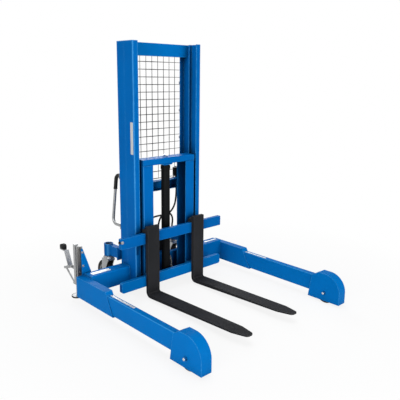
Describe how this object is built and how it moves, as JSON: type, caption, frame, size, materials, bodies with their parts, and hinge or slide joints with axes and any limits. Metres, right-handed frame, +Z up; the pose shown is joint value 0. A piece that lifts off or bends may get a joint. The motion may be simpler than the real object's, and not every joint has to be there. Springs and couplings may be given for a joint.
{
  "type": "pallet stacker",
  "caption": "Manual straddle pallet stacker: fixed mast with mesh guard, hydraulic lift carriage, hook-on sliding forks, legs that slide out, swivel casters and a floor lock.",
  "frame": {"origin": "centre of the footprint, on the floor", "axes": "+Z up, the forks point to -Y, +X to the right as seen from in front of the forks"},
  "size_m": [1.621, 1.8, 2.08],
  "materials": {
    "blue_paint": "gloss",
    "fork_black": "satin",
    "mesh_grey": "satin",
    "cylinder_black": "satin",
    "polished_steel": "polished",
    "zinc_steel": "satin",
    "roller_steel": "matt",
    "tyre_black": "matt",
    "hub_grey": "satin",
    "handle_grey": "satin",
    "rubber_black": "matt",
    "black_plastic": "matt"
  },
  "bodies": {
    "mast": {"mast_left_upright": "blue_paint", "mast_right_upright": "blue_paint", "mast_base_beam": "blue_paint", "mast_crossmembers": "blue_paint", "mesh_guard": "mesh_grey", "leg_socket_left": "blue_paint", "leg_socket_right": "blue_paint", "caster_arm_left": "blue_paint", "caster_arm_right": "blue_paint", "push_handle": "handle_grey", "handle_grip": "rubber_black", "cylinder_barrel": "cylinder_black", "pump_shelf": "blue_paint", "pump_unit": "cylinder_black", "control_valve": "cylinder_black", "hose_lift": "rubber_black", "hose_control": "rubber_black", "hose_fittings": "zinc_steel"},
    "carriage": {"carriage_left_post": "blue_paint", "carriage_right_post": "blue_paint", "carriage_top_bar": "blue_paint", "fork_bar_upper": "blue_paint", "fork_bar_lower": "blue_paint", "cylinder_rod": "polished_steel", "roller_axles": "zinc_steel"},
    "lift_stage": {"cylinder_stage": "polished_steel"},
    "floor_lever": {"floor_lock_lever": "zinc_steel", "floor_lock_pad": "rubber_black"},
    "floor_link": {"floor_lock_link": "zinc_steel"},
    "floor_plunger": {"floor_lock_plunger": "zinc_steel"},
    "pump_foot": {"pump_pedal": "cylinder_black"},
    "valve_hand": {"valve_lever": "zinc_steel"},
    "left_leg": {"leg_left_sleeve": "blue_paint", "leg_left_arm": "blue_paint", "leg_left_axle": "blue_paint", "floor_lock_body": "zinc_steel"},
    "left_load_wheel": {"load_left_hub": "hub_grey", "load_left_tyre": "tyre_black"},
    "left_leg_knob": {"leg_clamp_left": "black_plastic"},
    "left_caster": {"caster_left_fork": "zinc_steel"},
    "left_caster_wheel": {"caster_left_hub": "hub_grey", "caster_left_tyre": "tyre_black"},
    "left_fork": {"fork_left": "fork_black"},
    "left_fork_clamp": {"fork_clamp_left": "black_plastic"},
    "left_lower_roller": {"carriage_roller_left_lower": "roller_steel"},
    "left_upper_roller": {"carriage_roller_left_upper": "roller_steel"},
    "right_leg": {"leg_right_sleeve": "blue_paint", "leg_right_arm": "blue_paint", "leg_right_axle": "blue_paint"},
    "right_load_wheel": {"load_right_hub": "hub_grey", "load_right_tyre": "tyre_black"},
    "right_leg_knob": {"leg_clamp_right": "black_plastic"},
    "right_caster": {"caster_right_fork": "zinc_steel"},
    "right_caster_wheel": {"caster_right_hub": "hub_grey", "caster_right_tyre": "tyre_black"},
    "right_fork": {"fork_right": "fork_black"},
    "right_fork_clamp": {"fork_clamp_right": "black_plastic"},
    "right_lower_roller": {"carriage_roller_right_lower": "roller_steel"},
    "right_upper_roller": {"carriage_roller_right_upper": "roller_steel"}
  },
  "joints": [
    {"name": "carriage_lift", "type": "slide", "parent": "mast", "child": "carriage", "axis": [0, 0, 1], "range_m": [0, 1.5]},
    {"name": "stage_lift", "type": "slide", "parent": "mast", "child": "lift_stage", "axis": [0, 0, 1], "range_m": [0, 0.75]},
    {"name": "left_leg_slide", "type": "slide", "parent": "mast", "child": "left_leg", "axis": [-1, 0, 0], "range_m": [0, 0.15]},
    {"name": "left_load_wheel_spin", "type": "hinge", "parent": "left_leg", "child": "left_load_wheel", "pos_m": [-0.7575, -0.76, 0.09], "axis": [1, 0, 0], "continuous": true},
    {"name": "left_leg_clamp", "type": "hinge", "parent": "mast", "child": "left_leg_knob", "pos_m": [-0.6, 0.556, 0.182], "axis": [0, 1, 0], "range_deg": [-90, 180]},
    {"name": "left_caster_swivel", "type": "hinge", "parent": "mast", "child": "left_caster", "pos_m": [-0.367, 0.745, 0.26], "axis": [0, 0, 1], "continuous": true},
    {"name": "left_caster_spin", "type": "hinge", "parent": "left_caster", "child": "left_caster_wheel", "pos_m": [-0.367, 0.79, 0.11], "axis": [1, 0, 0], "continuous": true},
    {"name": "left_fork_slide", "type": "slide", "parent": "carriage", "child": "left_fork", "axis": [1, 0, 0], "range_m": [-0.205, 0.175]},
    {"name": "left_fork_clamp_turn", "type": "hinge", "parent": "left_fork", "child": "left_fork_clamp", "pos_m": [-0.252, 0.3, 0.595], "axis": [0, 0, 1], "range_deg": [0, 35]},
    {"name": "left_lower_roller_spin", "type": "hinge", "parent": "carriage", "child": "left_lower_roller", "pos_m": [-0.3275, 0.417, 0.17], "axis": [1, 0, 0], "continuous": true},
    {"name": "left_upper_roller_spin", "type": "hinge", "parent": "carriage", "child": "left_upper_roller", "pos_m": [-0.3275, 0.417, 0.52], "axis": [1, 0, 0], "continuous": true},
    {"name": "right_leg_slide", "type": "slide", "parent": "mast", "child": "right_leg", "axis": [1, 0, 0], "range_m": [0, 0.15]},
    {"name": "right_load_wheel_spin", "type": "hinge", "parent": "right_leg", "child": "right_load_wheel", "pos_m": [0.7575, -0.76, 0.09], "axis": [1, 0, 0], "continuous": true},
    {"name": "right_leg_clamp", "type": "hinge", "parent": "mast", "child": "right_leg_knob", "pos_m": [0.6, 0.556, 0.182], "axis": [0, 1, 0], "range_deg": [-90, 180]},
    {"name": "right_caster_swivel", "type": "hinge", "parent": "mast", "child": "right_caster", "pos_m": [0.367, 0.745, 0.26], "axis": [0, 0, 1], "continuous": true},
    {"name": "right_caster_spin", "type": "hinge", "parent": "right_caster", "child": "right_caster_wheel", "pos_m": [0.367, 0.79, 0.11], "axis": [1, 0, 0], "continuous": true},
    {"name": "right_fork_slide", "type": "slide", "parent": "carriage", "child": "right_fork", "axis": [1, 0, 0], "range_m": [-0.175, 0.205]},
    {"name": "right_fork_clamp_turn", "type": "hinge", "parent": "right_fork", "child": "right_fork_clamp", "pos_m": [0.252, 0.3, 0.595], "axis": [0, 0, 1], "range_deg": [-35, 0]},
    {"name": "right_lower_roller_spin", "type": "hinge", "parent": "carriage", "child": "right_lower_roller", "pos_m": [0.3275, 0.417, 0.17], "axis": [1, 0, 0], "continuous": true},
    {"name": "right_upper_roller_spin", "type": "hinge", "parent": "carriage", "child": "right_upper_roller", "pos_m": [0.3275, 0.417, 0.52], "axis": [1, 0, 0], "continuous": true},
    {"name": "floor_lock_press", "type": "hinge", "parent": "left_leg", "child": "floor_lever", "pos_m": [-0.757, 0.682, 0.285], "axis": [1, 0, 0], "range_deg": [-13.5, 0], "stiffness_Nm_per_rad": 20, "springref_deg": 22.92},
    {"name": "floor_lock_link_turn", "type": "hinge", "parent": "floor_lever", "child": "floor_link", "pos_m": [-0.757, 0.796, 0.248], "axis": [1, 0, 0], "range_deg": [0, 20.2]},
    {"name": "floor_lock_drop", "type": "slide", "parent": "left_leg", "child": "floor_plunger", "axis": [0, 0, 1], "range_m": [-0.04, 0]},
    {"name": "pump_pedal_press", "type": "hinge", "parent": "mast", "child": "pump_foot", "pos_m": [0.105, 0.752, 0.322], "axis": [1, 0, 0], "range_deg": [-22, 0], "stiffness_Nm_per_rad": 8, "springref_deg": 34.38},
    {"name": "valve_lever_push", "type": "hinge", "parent": "mast", "child": "valve_hand", "pos_m": [0.304, 0.636, 0.962], "axis": [1, 0, 0], "range_deg": [-20, 20], "stiffness_Nm_per_rad": 6}
  ],
  "couplings": [
    {"joint": "stage_lift", "follows": "carriage_lift", "ratio": 0.5},
    {"joint": "floor_lock_link_turn", "follows": "floor_lock_press", "ratio": -1.4786},
    {"joint": "floor_lock_drop", "follows": "floor_lock_press", "m_per_rad": 0.1691}
  ]
}
